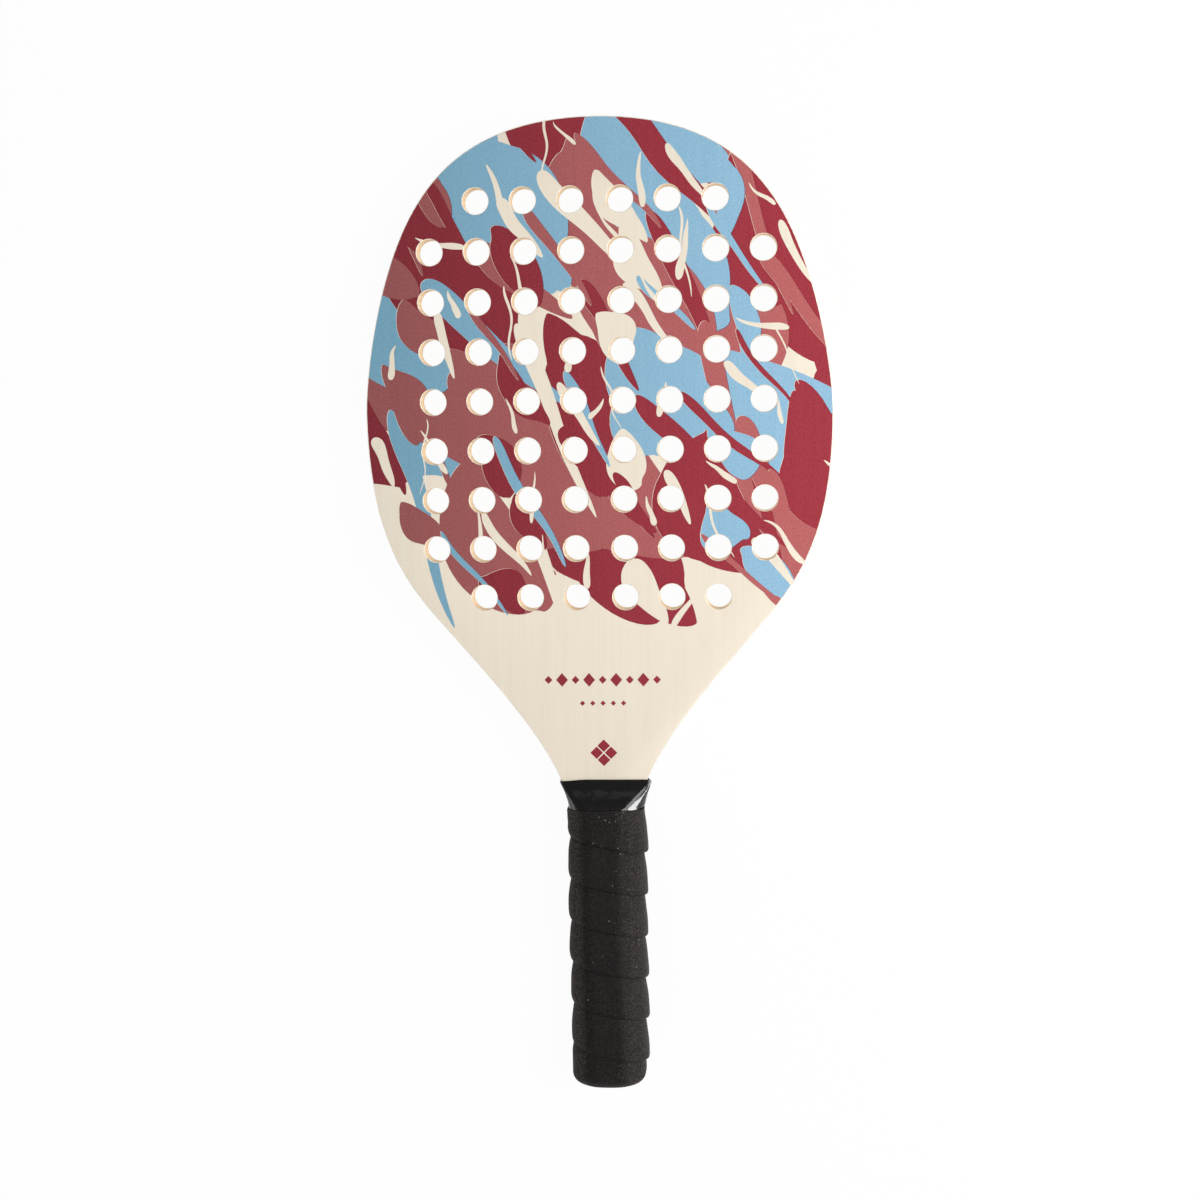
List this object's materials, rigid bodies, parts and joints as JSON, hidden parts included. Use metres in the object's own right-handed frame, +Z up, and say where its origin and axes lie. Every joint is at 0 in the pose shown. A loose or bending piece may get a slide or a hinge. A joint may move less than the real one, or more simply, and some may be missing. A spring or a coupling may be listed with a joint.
{
  "type": "beach tennis racket",
  "caption": "Drilled plywood beach tennis racket with an oval head, a printed face, a bevelled two-scale handle, a neck sleeve and a spiral-wound grip.",
  "frame": {"origin": "under the middle of the racket as it lies level on its back: x = 0 on the centre line, y = 0 half way between butt and crown, z = 0 at the lowest point of the grip band", "axes": "+X across the head, +Y along the racket from the butt to the crown, +Z up, out of the printed front face"},
  "size_m": [0.2236, 0.472, 0.0299],
  "materials": {
    "printed_face": "pale poplar face ply, sealed satin, with burgundy, rose and sky-blue ink over the head",
    "face_ply": "pale poplar face ply, sealed satin",
    "cross_ply": "bare inner plies, end grain and long grain in turn",
    "scale_wood": "planed softwood",
    "sleeve_vinyl": "gloss black shrunk vinyl",
    "band_foam": "matt black foamed band with a fine napped skin",
    "cap_rubber": "matt black moulded rubber"
  },
  "bodies": {
    "root": {"front_face_veneer": "printed_face", "core_plies": "cross_ply", "back_face_veneer": "face_ply", "front_handle_scale": "scale_wood", "back_handle_scale": "scale_wood", "neck_sleeve": "sleeve_vinyl", "grip_band": "band_foam", "butt_cap": "cap_rubber"}
  },
  "joints": []
}
